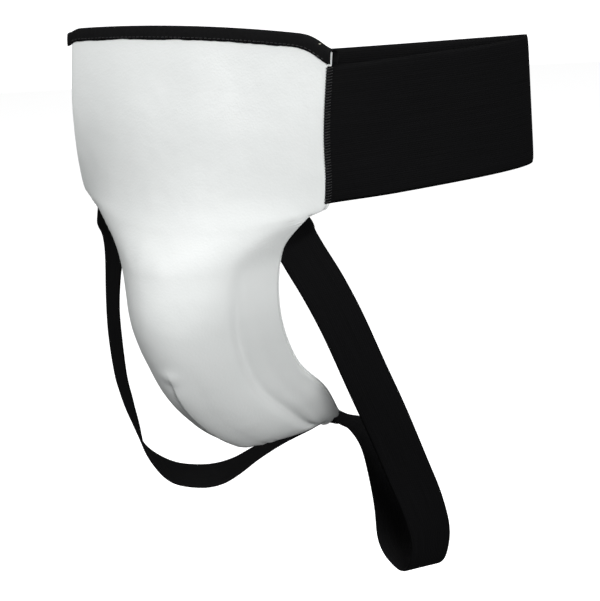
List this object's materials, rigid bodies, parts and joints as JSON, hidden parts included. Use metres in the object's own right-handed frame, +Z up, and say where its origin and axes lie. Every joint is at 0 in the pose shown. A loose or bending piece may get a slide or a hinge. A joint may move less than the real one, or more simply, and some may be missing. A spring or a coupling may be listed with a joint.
{
  "type": "groin protector",
  "caption": "Padded white groin guard with a cup-shaped lower front, a wide black elastic waist belt with a hook-and-loop closure, and black elastic leg straps.",
  "frame": {"origin": "middle of the wearer's waist, level with the middle of the waist belt", "axes": "+Z up along the wearer's body, the wearer faces -Y, +X is the wearer's left"},
  "size_m": [0.3018, 0.2749, 0.4597],
  "materials": {
    "white_leather": "smooth, semi-matte synthetic leather",
    "lining_fabric": "knitted lining",
    "foam": "open-cell foam, hidden inside",
    "hard_plastic": "moulded, hidden inside",
    "rim_rubber": "soft edge cushion, hidden inside",
    "binding_tape": "ribbed tape",
    "dark_thread": "sewing thread",
    "light_thread": "sewing thread",
    "elastic_webbing": "ribbed woven elastic",
    "loop_pile": "loop side of a hook-and-loop closure",
    "hook_tape": "hook side of a hook-and-loop closure"
  },
  "bodies": {
    "guard": {"front_cover": "white_leather", "back_lining": "lining_fabric", "belly_foam": "foam", "cup_foam": "foam", "hard_cup": "hard_plastic", "cup_rim_cushion": "rim_rubber", "top_binding": "binding_tape", "binding_stitching": "dark_thread", "edge_piping_left": "white_leather", "edge_piping_right": "white_leather", "dart_stitching": "light_thread", "tip_tab": "white_leather", "tip_bartack": "light_thread", "loop_patch": "loop_pile", "strap_anchor_left": "elastic_webbing", "strap_anchor_right": "elastic_webbing", "anchor_bartack_left": "dark_thread", "anchor_bartack_right": "dark_thread"},
    "belt_near": {"waist_belt_near": "elastic_webbing", "belt_overlock": "dark_thread"},
    "belt_far": {"waist_belt_far": "elastic_webbing"},
    "closure_tab": {"belt_end_tab": "elastic_webbing", "hook_patch": "hook_tape", "tab_stitching": "dark_thread"},
    "leg_strap_left": {"leg_strap_left": "elastic_webbing"},
    "leg_strap_right": {"leg_strap_right": "elastic_webbing"}
  },
  "joints": [
    {"name": "belt_seam_swing", "type": "hinge", "parent": "guard", "child": "belt_near", "pos_m": [0.1268, -0.11, 0], "axis": [0, 0.0349, -0.9994], "range_deg": [0, 100]},
    {"name": "belt_fold_open", "type": "hinge", "parent": "belt_near", "child": "belt_far", "pos_m": [0.164, 0.097, 0], "axis": [0, 0.0349, -0.9994], "range_deg": [0, 130]},
    {"name": "closure_tab_peel", "type": "hinge", "parent": "belt_far", "child": "closure_tab", "pos_m": [-0.0727, -0.113, -0.0011], "axis": [0.0318, -0.177, -0.9837], "range_deg": [0, 60]},
    {"name": "leg_strap_left_swing", "type": "hinge", "parent": "guard", "child": "leg_strap_left", "pos_m": [0.074, -0.092, -0.086], "axis": [-0.2931, 0.6037, -0.7414], "range_deg": [-15, 20]},
    {"name": "leg_strap_right_swing", "type": "hinge", "parent": "guard", "child": "leg_strap_right", "pos_m": [-0.104, -0.098, -0.096], "axis": [0.3513, 0.5502, -0.7576], "range_deg": [-20, 15]}
  ]
}
